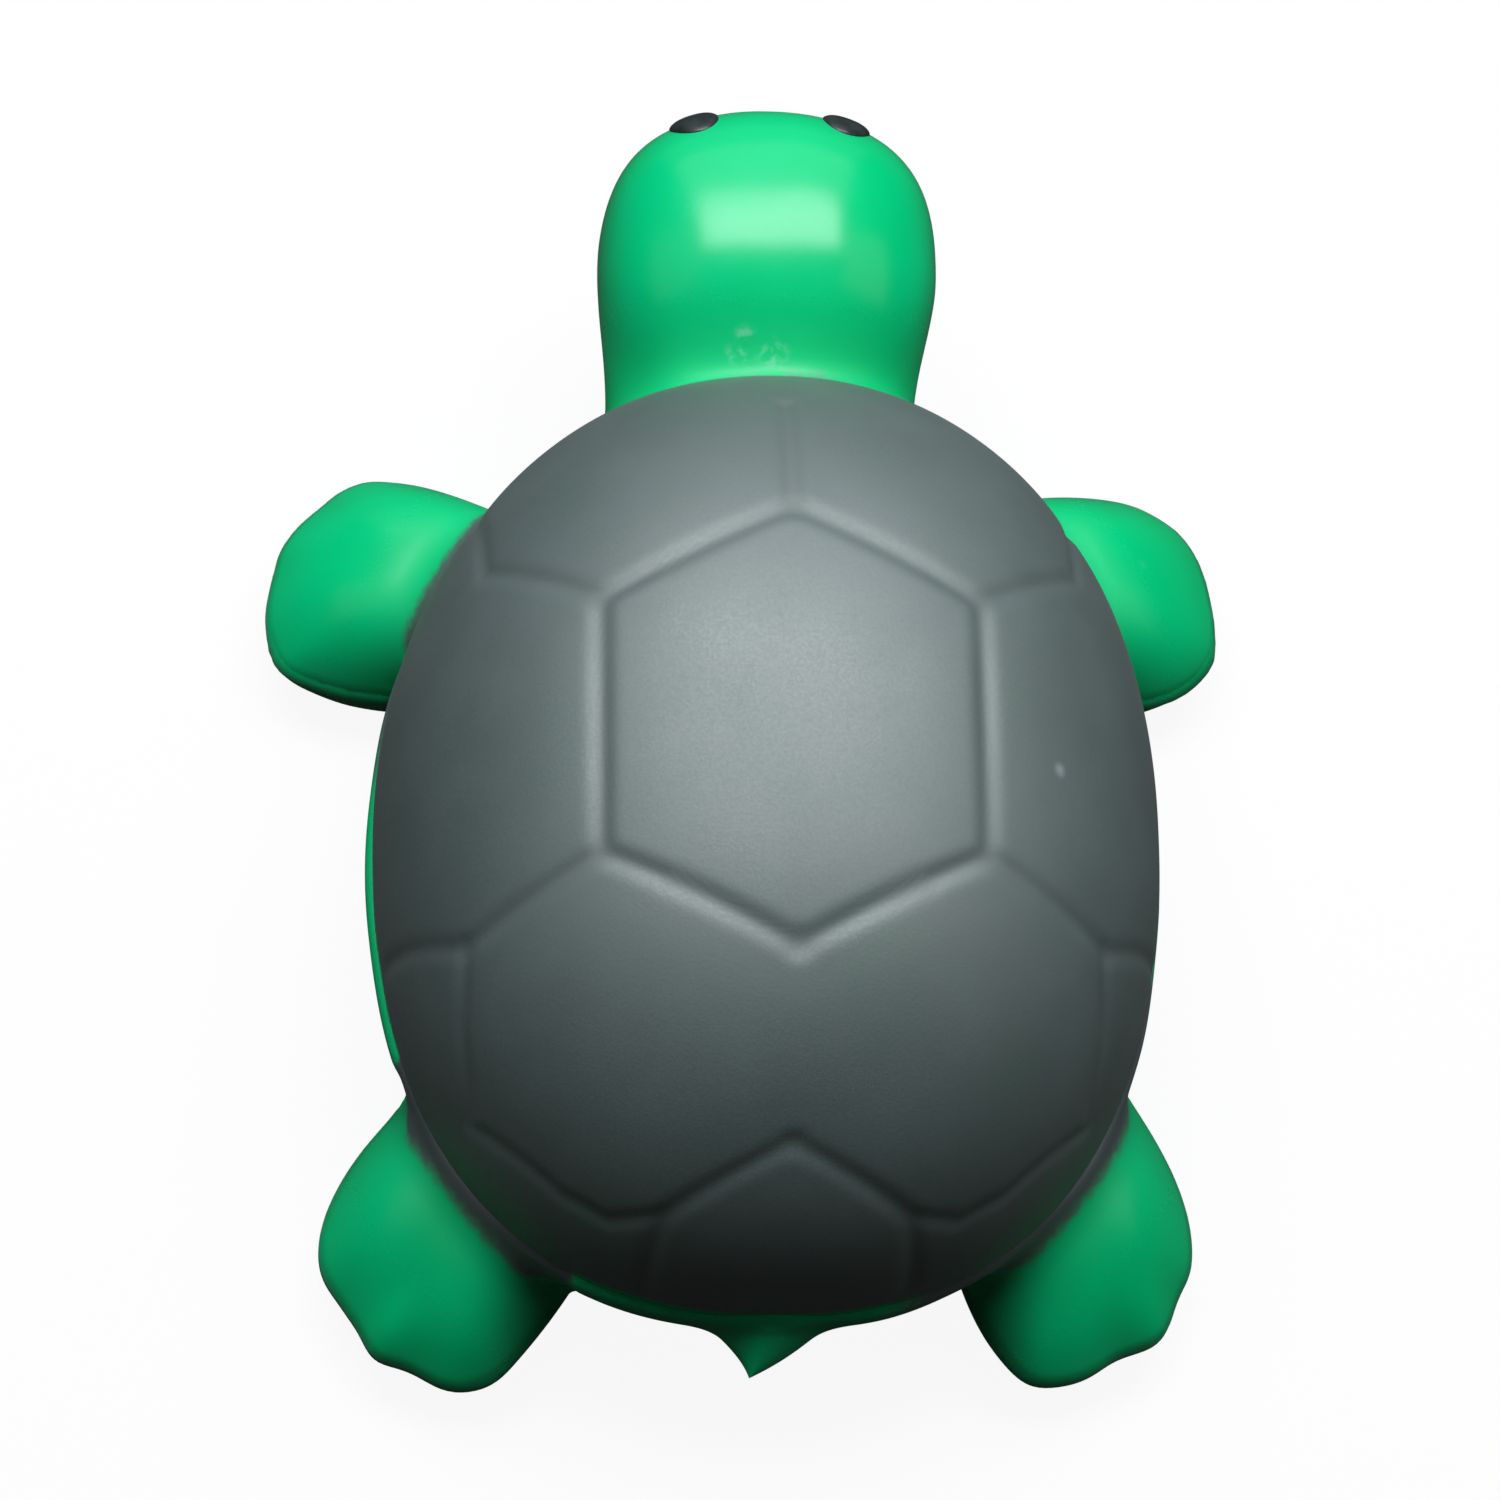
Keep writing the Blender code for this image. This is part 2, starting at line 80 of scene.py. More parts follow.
# Shell form
FRONT_POWER = 2.10          # plan curve ahead of the widest line, where 2 is an ellipse
REAR_POWER = 2.35
CROWN_POWER = 2.1           # side profile
SHELL_LEAN = 0.0005         # front edge of the casting, to the turtle's right
SKIN = 0.0005               # painted skin's thickness
SKIN_CREASE = 60.0          # degrees, the skin's edges sharper than this aren't smoothed
SKIN_TUCK = 0.0005          # how far the skin's edge reaches down into the foam
SKIN_SKIRT = 0.0024         # and over the roots of the legs
FLANK_TUCK = 0.0002         # how far the flank draws in there
CORE_DEPTH = 0.0014         # foam below the painted surface
NAPE_DEPTH = 0.0006         # and at the nape, where the foam comes up to the paint's edge
NAPE_START = 0.020
NAPE_RUN = 0.010
NAPE_EDGE = 0.0010          # the paint ends this far from the neck
NAPE_FADE = 0.0035          # and fades out over this length
NECK_FADE = 0.0130          # the skirt runs out this far beside the neck
SPRAY_REACH = 0.0024        # how far the paint runs onto the roots of the legs
SPRAY_LEVEL = 0.0100        # lowest paint on the foam
SPRAY_RISE = 0.0020
DUST_REACH = 0.0080         # fine spray dust dulls the foam this far from the shell
SHELL_GRID = 240            # quads across the painted skin

# Grooves between the scutes, as plan points sideways and ahead of the shell's middle
GROOVE_DEPTH = 0.00030
GROOVE_REACH = 0.00075      # half width where the groove has lost two thirds of its depth
PILLOW_DEPTH = 0.00010      # scutes bulge this far between their grooves
PILLOW_REACH = 0.0030
GROOVE_FADE = 0.10          # last share of the way from crown to edge, where the grooves run out
GROOVE_STEP = 0.0015        # spacing of the points that lay a groove over the dome
MIDDLE_GROOVE = 1.0         # depth round the middle scute, as a share of the full one
SIDE_GROOVE = 0.8
MARGIN_GROOVE = 0.6
HEX_FRONT = (0.0, 0.0168)
HEX_REAR = (0.0, -0.0160)
HEX_FRONT_SHOULDER = (0.01355, 0.0099)
HEX_REAR_SHOULDER = (0.01355, -0.0091)
FRONT_FORK = (0.0216, 0.0151)
FRONT_FORK_RIM = (0.0222, 0.0240)
REAR_FORK = (0.0228, -0.0134)
REAR_FORK_RIM = (0.0290, -0.0105)
MARGIN = ((0.0229, -0.0185), (0.0222, -0.0240), (0.0158, -0.0295), (0.0125, -0.0314))
CHEVRON = (0.0, -0.0280)
CHEVRON_END = (0.0089, -0.0317)
CHEVRON_RIM = (0.0100, -0.0360)
NAPE_END = (0.0, 0.0275)
FACET_DEPTH = 0.00040       # how far the middle scute is flattened

# Torso
LEDGE = RIM + 0.0002        # top of the foam's flank, just over the shell's lower edge
LEDGE_ROUND = 0.0012
BELLY_WIDTH = 0.0370
BOWL_POWER = 2.25
BELLY_ROUND = 0.0016

# Head and neck
HEAD_LEAN = -0.0004         # head's middle, to the turtle's right
HEAD_WIDTH = 0.0258
HEAD_LENGTH = 0.0232
HEAD_SETBACK = 0.0018       # snout behind the end of the solid it stands for
HEAD_CHIN = 0.0116
HEAD_PLAN = 2.45
HEAD_CROWN = 2.26
HEAD_PITCH = 0.127          # how far the head's top lies ahead of its middle, for each unit of height
HEAD_BEND = 0.0060          # height over which that starts
NECK_WIDTH = 0.0237
NECK_LENGTH = 0.0280
NECK_TOP = 0.0237
NECK_THROAT = 0.0045
NECK_POWER = 2.8
NECK_PITCH = 0.25           # how far the neck climbs toward the head, for each unit of length
NECK_FILLET = 0.0038        # reach of the fillet where the nape meets the shell
NECK_SIDE_FILLET = 0.0016   # and beside the nape
NAPE_HALF = 0.0060          # half width of the nape
HEAD_FILLET = 0.0041        # and where the neck meets the head

# Paws
PAW_LEVEL = 0.0052          # height of a paw's edge, where the mould parts
PAW_RISE = 0.0105           # and of its root over that
PAW_TAPER = 0.35            # share of that height that a paw loses toward the toes
PAW_POWER = 3.2             # flatness of a paw's top, where 2 is a parabola
PAW_EDGE = 0.0008           # rounding of the edge
PAW_TUCK = 0.14             # share of its size that the paw loses from its edge to its sole, at the toes
TUCK_POWER = 1.5            # how late below the edge that sets in
TOE_ANGLE = 7.0             # half width of a toe, in degrees seen from the paw's middle

# Tail
TAIL_WIDTH = 0.0124
TAIL_HEIGHT = 0.0134
TAIL_LEVEL = 0.0115
TAIL_END = 0.0486
TAIL_LENGTH = 0.0054
TAIL_ROOT = 0.0060
TAIL_BEND = 0.0015          # how far the tip lies to the turtle's left
BEND_POWER = 3              # how late that sets in
TAIL_EDGE = 1.7             # squareness of the tail's section, where 2 is an ellipse and 1 has sharp edges
TAIL_FILLET = 0.0008
TAIL_SIDES = 32
TAIL_CUTS = 2               # points added along each edge of the mesh round the tail

# Eyes
EYE_WIDTH = 0.0040
EYE_TALL = 0.0058
EYE_LIFT = 0.0013           # eyes over the middles of the solids they stand for
EYE_RAISE = 0.00048
EYE_SINK = 0.00018          # how far the eye's edge dips under the skin
EYE_POWER = 3               # flatness of an eye's top, where 2 is an ellipse
EYE_GRID = 28               # quads across an eye

# Mould parting line round the paws
PARTING_LEVEL = PAW_LEVEL
PARTING_RISE = 0.00045      # behind the front legs, where more foam pressed out of the mould
PARTING_SHARE = 0.3         # height of the line elsewhere, against that
PARTING_REACH = 0.00040     # half width of the ridge
PARTING_MARGIN = 0.00044    # no other points of the mesh lie this near to it
PARTING_CLEAR = 0.00130     # and those up to here make room
PARTING_FADE = 0.0010       # the line ends this far out in the fillet beside a paw

# Mesh
VOXEL = 0.00055             # size of the foam skin's quads
INFLATE = 0.0006            # closes the gaps between the solids before they are joined
UNEVEN = 0.00003            # slow unevenness of a hand-poured casting
UNEVEN_WAVES = (            # radians per metre along x, y and z, and the start
    (610, 340, 0, 1.3),
    (0, 470, -520, 0.4),
    (410, 0, 560, 2.1),
)
SETTLE_STEPS = 6            # onto the form, from the joined solids
RESETTLE_STEPS = 3          # after the second remesh
FINISH_STEPS = 2            # and after small moves along the surface
RELAX_STEPS = 5             # rounds that spread the points evenly
MAX_STEP = 0.0015           # longest move of a point in one step
PROBE = 1e-6                # length that slopes are measured over
TINY = 1e-9
SQUEEZE_SPREAD = 0.0120     # how far from the shell the foam is still drawn along with it

# Marks on the surface and the painted highlight along the parting line: their places, and how far they reach
THIN_PLACES = (
    ((-0.0222, 0.0349, 0.0190), 0.009),
    ((0.0220, 0.0344, 0.0218), 0.008),
    ((0.0130, 0.0409, 0.0247), 0.008),
    ((0.0, -0.0240, 0.0280), 0.014),
)
PAINT_CHIPS = (((-0.0190, 0.0110, 0.0384), 0.0008),)
SCUFFS = (
    ((0.0019, -0.0266, 0.0286), 0.0011),
    ((0.0025, -0.0255, 0.0275), 0.0013),
    ((-0.0002, -0.0255, 0.0276), 0.0018),
    ((-0.0298, -0.0153, 0.0110), 0.0008),
)
PARTING_HIGHLIGHT_CORE = 0.00005         # painted highlight along the parting line, whole this far up and down
PARTING_HIGHLIGHT_REACH = 0.00030        # and fades out up to here
PARTING_HIGHLIGHT_SHARE = 0.40
PARTING_HIGHLIGHT_START = 0.024          # only out on the paws, from here
PARTING_HIGHLIGHT_FULL = 0.027           # and whole from here, sideways from the middle

# Floor
FLOOR_SIZE = 4.0
FLOOR_DROP = 0.0002
FLOOR_GLOW = 0.92           # share of plain white that the camera sees, over the lit and shaded floor
FLOOR_GLOSS = 0.01          # the same white, as far as the satin foam mirrors it

# Camera that the photograph was taken with
CAMERA_TARGET = (0.00096, 0.00141, 0.0150)
CAMERA_DISTANCE = 0.380
CAMERA_AZIMUTH = 12.84      # degrees from straight behind, to the turtle's left
CAMERA_ELEVATION = 70.0
CAMERA_ROLL = -0.99
CAMERA_VIEW = 16.88         # degrees across the frame

# Lamps
LAMP_TARGET = Vector((0.0, -0.015, 0.03))
LAMP_DISTANCE = 0.45
COOL = (1.0, 1.0, 1.12)
WHITE = (1.0, 1.0, 1.0)
LAMPS = (   # tilt from overhead and turn from the head's side in degrees, size, power and colour
    ("key", 18.0, 0.0, (0.48, 0.21), 2.50, COOL),
    ("front", 48.0, 0.0, (0.60, 0.32), 0.56, COOL),
    ("face", 80.0, 0.0, (0.60, 0.30), 0.12, WHITE),
    ("left", 50.0, 90.0, (0.30, 0.30), 0.10, WHITE),
    ("right", 50.0, -90.0, (0.30, 0.30), 0.20, WHITE),
)
WORLD_LEVEL = 0.01


def smooth_step(value):
    value = np.clip(value, 0, 1)
    return value * value * (3 - 2 * value)


def last_third(value):
    """0 up to two thirds, then rising to 1."""
    return smooth_step(3 * value - 2)


def lean(ahead):
    """How far the shell strays sideways, from its middle to its front edge."""
    return SHELL_LEAN * smooth_step(ahead / SHELL_HALF[1])


def rounded_form(local, half, plan, crown):
    """Distance to a rounded form about the origin.

    plan squares its outline and crown its side view, where 2 is round.
    """
    u, v, w = (np.abs(local) / half).T
    share = np.maximum((u ** plan + v ** plan) ** (1 / plan), TINY)
    size = np.maximum((share ** crown + w ** crown) ** (1 / crown), TINY)
    outward = (share / size) ** (crown - 1)
    slope = np.stack((
        outward * (u / share) ** (plan - 1) / half[0],
        outward * (v / share) ** (plan - 1) / half[1],
        (w / size) ** (crown - 1) / half[2],
    ))
    return (size - 1) / np.maximum(np.linalg.norm(slope, axis=0), TINY)


def half_form(points, half, level, rise, crown, upward):
    """Distance to a dome or bowl that stands on a level and has the shell's plan.

    Past the level it runs straight.
    """
    x, y, z = (points - MIDDLE).T
    plan = np.where(y < 0, FRONT_POWER, REAR_POWER)
    over = np.maximum(z - level if upward else level - z, 0)
    return rounded_form(np.stack((x + lean(-y), y, over), axis=1), np.array((*half, rise)), plan, crown)


def merge(first, second, reach):
    """Union of two distances with a fillet."""
    near = np.maximum(reach - np.abs(first - second), 0) / reach
    return np.minimum(first, second) - near ** 2 * reach / 4


def carve(first, second, reach):
    """Intersection of two distances with a rounded edge."""
    return -merge(-first, -second, reach)


def shell_form(points):
    return half_form(points, SHELL_HALF, RIM, RISE, CROWN_POWER, upward=True)


def core_depth(points):
    """Thickness between the painted surface and the foam below it, thinner at the nape."""
    front = smooth_step((MIDDLE[1] - points[:, 1] - NAPE_START) / NAPE_RUN)
    return CORE_DEPTH + (NAPE_DEPTH - CORE_DEPTH) * front


def torso_form(points):
    belly_share = BELLY_WIDTH / 2 / TORSO_HALF[0]
    depth = TORSO_HIGH[2] / (1 - belly_share ** BOWL_POWER) ** (1 / BOWL_POWER)
    bowl = half_form(points, TORSO_HALF, TORSO_HIGH[2], depth, BOWL_POWER, upward=False)
    flank = carve(bowl + FLANK_TUCK * root_share(points), points[:, 2] - LEDGE, LEDGE_ROUND)
    core = np.maximum(shell_form(points) + core_depth(points), RIM / 2 - points[:, 2])
    return np.minimum(flank, core)


HEAD_HALF = np.array((HEAD_WIDTH / 2, HEAD_LENGTH / 2, (HEAD_HIGH[2] - HEAD_CHIN) / 2))
HEAD_SNOUT = HEAD_LOW[1] + HEAD_SETBACK
HEAD_MIDDLE = np.array((HEAD_LEAN, HEAD_SNOUT + HEAD_LENGTH / 2, (HEAD_HIGH[2] + HEAD_CHIN) / 2))
NECK_HALF = np.array((NECK_WIDTH / 2, NECK_LENGTH / 2, (NECK_TOP - NECK_THROAT) / 2))
NECK_MIDDLE = np.array((0.0, HEAD_MIDDLE[1] + NECK_LENGTH / 2, (NECK_TOP + NECK_THROAT) / 2))


def head_form(points):
    x, y, z = (points - HEAD_MIDDLE).T
    ahead = HEAD_PITCH * (z + np.hypot(z, HEAD_BEND)) / 2
    return rounded_form(np.stack((x, y + ahead, z), axis=1), HEAD_HALF, HEAD_PLAN, HEAD_CROWN)


def neck_form(points):
    x, y, z = (points - NECK_MIDDLE).T
    return rounded_form(np.stack((x, y, z + NECK_PITCH * y), axis=1), NECK_HALF, NECK_POWER, NECK_POWER)


def neck_fillet(points):
    """Reach of the fillet round the neck, wide on the nape and narrow beside it."""
    beside = smooth_step(np.abs(points[:, 0]) / NAPE_HALF - 1)
    return NECK_FILLET + (NECK_SIDE_FILLET - NECK_FILLET) * beside


class Paw:
    """A leg and its paw, with a flat sole. The four differ a little, as cast by hand.

    place is its middle, sideways and ahead of the shell's middle. heading, in degrees, turns from the
    turtle's side to its rear. size is its length and width. fullness squares its outline, flare is the
    share of its width that its root gains or, below 0, loses, and slant draws its toes back on one side.
    Each toe is a bearing in degrees and how far it stands out, less than nothing between two toes. fillet
    is the reach of the fillet at its root, and fade how far beside the leg paint covers the flank.
    """

    def __init__(self, side, place, heading, size, fullness, flare, slant, toes, fillet, fade):
        self.side = side
        self.middle = MIDDLE + np.array((side * place[0], -place[1], 0.0))
        self.angle = math.radians(heading)
        self.half = (size[0] / 2, size[1] / 2)
        self.fullness = fullness
        self.flare = flare
        self.slant = slant
        self.toes = toes
        self.fillet = fillet
        self.fade = fade

    def form(self, points):
        x, y, z = (points - self.middle).T
        outward = x * self.side
        along = outward * math.cos(self.angle) + y * math.sin(self.angle)
        across = y * math.cos(self.angle) - outward * math.sin(self.angle)
        bearing = np.degrees(np.arctan2(across, along))
        reach = np.hypot(along, across)
        along = along + self.slant * across
        tip = np.clip((1 + along / self.half[0]) / 2, 0, 1)
        toes = np.ones(len(points))
        for toe, height in self.toes:
            bulge = np.exp(-((bearing - toe) / TOE_ANGLE) ** 2)
            toes += bulge * height / self.half[0] * last_third(reach / self.half[0])
        u = np.abs(along) / toes / self.half[0]
        v = np.abs(across) / toes / self.half[1] / (1 + self.flare * (1 - tip))
        share = np.maximum((u ** self.fullness + v ** self.fullness) ** (1 / self.fullness), TINY)
        slope = np.hypot(
            (u / share) ** (self.fullness - 1) / self.half[0],
            (v / share) ** (self.fullness - 1) / self.half[1],
        )
        up = z - PAW_LEVEL
        rise = PAW_RISE * (1 - PAW_TAPER * tip)
        steep = PAW_POWER * share ** (PAW_POWER - 1) * slope
        top = (share ** PAW_POWER + up / rise - 1) / np.hypot(steep, 1 / rise)
        tuck = PAW_TUCK * tip * np.clip(-up / PAW_LEVEL, 0, 1) ** TUCK_POWER
        return carve(top, (share - 1 + tuck) / slope, PAW_EDGE)


PAWS = (
    Paw(
        side=1, place=(0.0222, 0.0228), heading=-12.0, size=(0.0302, 0.0234),
        fullness=2.45, flare=-0.60, slant=-0.115,
        toes=((-43.0, 0.00025), (-24.0, -0.0003), (-5.0, 0.00025), (34.0, 0.00035)),
        fillet=0.0035, fade=0.026,
    ),
    Paw(
        side=-1, place=(0.0219, 0.0236), heading=-2.4, size=(0.0292, 0.0207),
        fullness=2.55, flare=-0.34, slant=-0.11,
        toes=((-34.0, -0.00015), (18.0, 0.0001)),
        fillet=0.0030, fade=0.026,
    ),
    Paw(
        side=1, place=(0.0202, -0.0237), heading=54.0, size=(0.0292, 0.0203),
        fullness=3.25, flare=-0.18, slant=-0.135,
        toes=((-17.0, -0.0002), (2.0, 0.0008), (16.0, -0.0002), (38.0, 0.0002)),
        fillet=0.0030, fade=0.0015,
    ),
    Paw(
        side=-1, place=(0.0217, -0.0228), heading=68.9, size=(0.0299, 0.0216),
        fullness=2.55, flare=-0.395, slant=-0.195,
        toes=((-26.0, -0.0005), (-12.0, 0.0004), (3.0, -0.0003), (28.0, 0.0003)),
        fillet=0.0030, fade=0.014,
    ),
)


def tail_form(points):
    """Pointed flap, a cone outward from its thickest place and a rounded root inward."""
    x, y, z = (points - (0.0, TAIL_END - TAIL_LENGTH, TAIL_LEVEL)).T
    along = y / TAIL_LENGTH
    u = np.abs(x - TAIL_BEND * np.maximum(along, 0) ** BEND_POWER) / (TAIL_WIDTH / 2)
    w = np.abs(z) / (TAIL_HEIGHT / 2)
    cone = (u ** TAIL_EDGE + w ** TAIL_EDGE) ** (1 / TAIL_EDGE) + along - 1
    half = np.array((TAIL_WIDTH / 2, TAIL_ROOT, TAIL_HEIGHT / 2))
    back = rounded_form(np.stack((x, y, z), axis=1), half, plan=2.0, crown=TAIL_EDGE)
    return np.where(along > 0, cone * TAIL_LENGTH / 2, back)


def unevenness(points):
    """Slow waves over the surface, about a centimetre long."""
    x, y, z = points.T
    return UNEVEN * sum(np.sin(a * x + b * y + c * z + start) for a, b, c, start in UNEVEN_WAVES)


def body_form(points):
    """Distance to the foam casting without its tail and flat underside."""
    body = merge(torso_form(points), neck_form(points), neck_fillet(points))
    body = merge(body, head_form(points), HEAD_FILLET)
    for paw in PAWS:
        body = merge(body, paw.form(points), paw.fillet)
    return body


def foam_form(points):
    """Distance to the whole foam casting, negative inside it."""
    body = merge(body_form(points), tail_form(points), TAIL_FILLET)
    return carve(body + unevenness(points), -points[:, 2], BELLY_ROUND)


def swollen_form(points):
    """The same, a little thicker all round, so that its remeshed skin still reaches round the tail's tip."""
    return foam_form(points) - INFLATE / 2


def beside_legs(points):
    """Distance from the legs in plan as a share of their fade, less than 0 over and under them."""
    level = points * (1, 1, 0) + (0, 0, PAW_LEVEL)
    return np.min([paw.form(level) / paw.fade for paw in PAWS], axis=0)


def leg_share(points):
    """1 over and under the legs, falling to 0 beside them."""
    return 1 - smooth_step(beside_legs(points))


def root_share(points):
    """The same for the legs, the neck and what lies between them."""
    level = points * (1, 1, 0) + (0, 0, NECK_MIDDLE[2])
    return 1 - smooth_step(merge(beside_legs(points), neck_form(level) / NECK_FADE, 1.0))


def nape_share(points):
    """0 on and beside the neck, rising to 1 where the paint is whole."""
    return smooth_step((neck_form(points) - NAPE_EDGE) / NAPE_FADE)


def paint_cover(points):
    """Share of paint on the shell's surface, fading out at the flank and over the nape."""
    flank = smooth_step(body_form(points) / core_depth(points))
    return nape_share(points) * (flank + (1 - flank) * leg_share(points))


def spray_shares(points):
    """Share of paint, and of its dust, on the foam near the shell."""
    distance = shell_form(points)
    over = smooth_step((points[:, 2] - SPRAY_LEVEL) / SPRAY_RISE)
    spray = (1 - smooth_step(distance / SPRAY_REACH)) * leg_share(points) * nape_share(points) * over
    return spray, (1 - smooth_step(distance / DUST_REACH)) * smooth_step(points[:, 2] / SPRAY_LEVEL)


def slope_of(form, points):
    """Value of a distance function and its gradient."""
    value = form(points)
    slope = np.empty_like(points)
    for axis in range(3):
        moved = points.copy()
        moved[:, axis] += PROBE
        slope[:, axis] = (form(moved) - value) / PROBE
    return value, slope


def normals_of(form, points):
    slope = slope_of(form, points)[1]
    return slope / np.linalg.norm(slope, axis=1)[:, None]


def settle(points, form, steps):
    """Points moved onto the surface of a form."""
    for _ in range(steps):
        value, slope = slope_of(form, points)
        step = slope * (value / np.maximum((slope ** 2).sum(axis=1), TINY))[:, None]
        length = np.linalg.norm(step, axis=1)
        points = points - step * np.minimum(1, MAX_STEP / np.maximum(length, TINY))[:, None]
    return points


def relax(points, edges, form):
    """Points spread evenly along the surface, apart from the tail's, which would slide off its tip."""
    ends = np.concatenate((edges, edges[:, ::-1]))
    count = np.bincount(ends[:, 0], minlength=len(points))[:, None]
    near = points[ends[:, 1]]
    sums = [np.bincount(ends[:, 0], weights=values, minlength=len(points)) for values in near.T]
    mean = np.stack(sums, axis=1) / count
    normal = normals_of(form, points)
    shift = mean - points
    shift -= normal * (shift * normal).sum(axis=1)[:, None]
    shift *= smooth_step(tail_form(points) / TAIL_FILLET)[:, None]
    return settle(points + shift / 2, form, 1)


def mesh_points(mesh):
    points = np.empty(len(mesh.vertices) * 3)
    mesh.vertices.foreach_get("co", points)
    return points.reshape(-1, 3)


def set_mesh_points(mesh, points):
    mesh.vertices.foreach_set("co", np.ascontiguousarray(points, np.float32).ravel())
    mesh.update()


def add_values(mesh, name, values):
    attribute = mesh.attributes.get(name) or mesh.attributes.new(name, "FLOAT", "POINT")
    attribute.data.foreach_set("value", np.asarray(values, np.float32))


def add_object(name, data):
    item = bpy.data.objects.new(name, data)
    bpy.context.scene.collection.objects.link(item)
    return item


def apply_modifiers(item):
    """Replace an object's mesh by its evaluated one."""
    bpy.context.view_layer.update()
    evaluated = item.evaluated_get(bpy.context.evaluated_depsgraph_get())
    mesh = bpy.data.meshes.new_from_object(evaluated)
    item.modifiers.clear()
    item.data = mesh


def remesh(item):
    """Replace an object's mesh by one skin of even quads."""
    modifier = item.modifiers.new("skin", "REMESH")
    modifier.mode = "VOXEL"
    modifier.voxel_size = VOXEL
    apply_modifiers(item)


def thicken(item, thickness):
    """Give a sheet its thickness, inward."""
    modifier = item.modifiers.new("coat", "SOLIDIFY")
    modifier.thickness = thickness
    modifier.offset = -1.0
    apply_modifiers(item)


def refine_tail(mesh):
    """More points round the tail, for its sharp tip."""
    form = bmesh.new()
    form.from_mesh(mesh)
    edges = [
        edge for edge in form.edges
        if all(vert.co.y > TAIL_END - TAIL_LENGTH and abs(vert.co.x) < TAIL_WIDTH / 2 for vert in edge.verts)
    ]
    bmesh.ops.subdivide_edges(form, edges=edges, cuts=TAIL_CUTS, use_grid_fill=True)
    form.to_mesh(mesh)
    form.free()


def add_tail_cone(form):
    """Cone where the tail's tip comes, since that lies higher than the tip of the solid."""
    middle = Vector((0.0, TAIL_END - TAIL_LENGTH / 2, TAIL_LEVEL))
    backward = Euler((-math.pi / 2, 0.0, 0.0))
    place = Matrix.LocRotScale(middle, backward, Vector((TAIL_WIDTH, TAIL_HEIGHT, 1.0)))
    cone = bmesh.ops.create_cone(
        form, cap_ends=True, segments=TAIL_SIDES, radius1=0.5, radius2=0.0, depth=TAIL_LENGTH, matrix=place,
    )
    for vert in cone["verts"]:
        if vert.co.y > middle.y:
            vert.co.x += TAIL_BEND


def joined_solids():
    """All solids but the eyes, swollen until they overlap and remeshed into one skin."""
    form = bmesh.new()
    for node in (*FOAM_NODES, "shell"):
        form.from_mesh(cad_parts[node].data)
    bmesh.ops.remove_doubles(form, verts=form.verts, dist=PROBE)
    add_tail_cone(form)
    form.normal_update()
    for vert in form.verts:
        vert.co += vert.normal * INFLATE
    mesh = bpy.data.meshes.new("foam_body")
    form.to_mesh(mesh)
    form.free()
    item = add_object("foam_body", mesh)
    remesh(item)
    return item


def clear_band(mesh):
    """Points moved up or down along the surface, out of the band that the parting line takes."""
    points = mesh_points(mesh)
    near = np.abs(points[:, 2] - PARTING_LEVEL) < PARTING_CLEAR
    near &= np.min([paw.form(points) for paw in PAWS], axis=0) < PARTING_FADE
    slope = slope_of(foam_form, points)[1]
    near &= np.hypot(slope[:, 0], slope[:, 1]) > np.abs(slope[:, 2])
    band = points[near]
    offset = band[:, 2] - PARTING_LEVEL
    away = PARTING_MARGIN + np.abs(offset) * (1 - PARTING_MARGIN / PARTING_CLEAR)
    band[:, 2] = PARTING_LEVEL + np.where(offset < 0, -away, away)
    for _ in range(FINISH_STEPS):
        value, slope = slope_of(foam_form, band)
        slope[:, 2] = 0
        band -= slope * (value / np.maximum((slope ** 2).sum(axis=1), TINY))[:, None]
    points[near] = band
    set_mesh_points(mesh, points)


def add_parting_line(item):
    """Thin ridge round the paws where the two halves of the mould met."""
    clear_band(item.data)
    form = bmesh.new()
    form.from_mesh(item.data)
    for offset in (-PARTING_REACH, 0.0, PARTING_REACH):
        bmesh.ops.bisect_plane(
            form,
            geom=form.verts[:] + form.edges[:] + form.faces[:],
            plane_co=(0.0, 0.0, PARTING_LEVEL + offset),
            plane_no=(0.0, 0.0, 1.0),
        )
    form.normal_update()
    ridge = [vert for vert in form.verts if abs(vert.co.z - PARTING_LEVEL) < PROBE]
    points = np.array([vert.co for vert in ridge])
    paw = np.min([paw.form(points) for paw in PAWS], axis=0)
    share = 1 - smooth_step(paw / PARTING_FADE)
    facing = np.array([vert.normal.y for vert in ridge])
    behind = np.where(points[:, 1] < 0, smooth_step(facing * 2), 0)   # whole from 30 degrees to the rear
    share *= PARTING_SHARE + (1 - PARTING_SHARE) * behind
    for vert, rise in zip(ridge, share * PARTING_RISE):
        vert.co += vert.normal * Vector((1, 1, 0)) * rise
    form.to_mesh(item.data)
    form.free()


def smooth_normals(mesh, points):
    """Normals of the form itself, apart from the parting line, so that uneven quads don't show."""
    normal = normals_of(foam_form, points)
    own = np.empty(len(points) * 3)
    mesh.vertices.foreach_get("normal", own)
    ridge = np.abs(points[:, 2] - PARTING_LEVEL) < PARTING_MARGIN
    normal[ridge] = own.reshape(-1, 3)[ridge]
    mesh.normals_split_custom_set_from_vertices(normal)


def squeeze_share(points):
    """Share of the shell's travel that each point of the foam follows."""
    near = 1 - smooth_step(shell_form(points) / SQUEEZE_SPREAD)
    return near * np.clip(points[:, 2] / RIM, 0, 1)


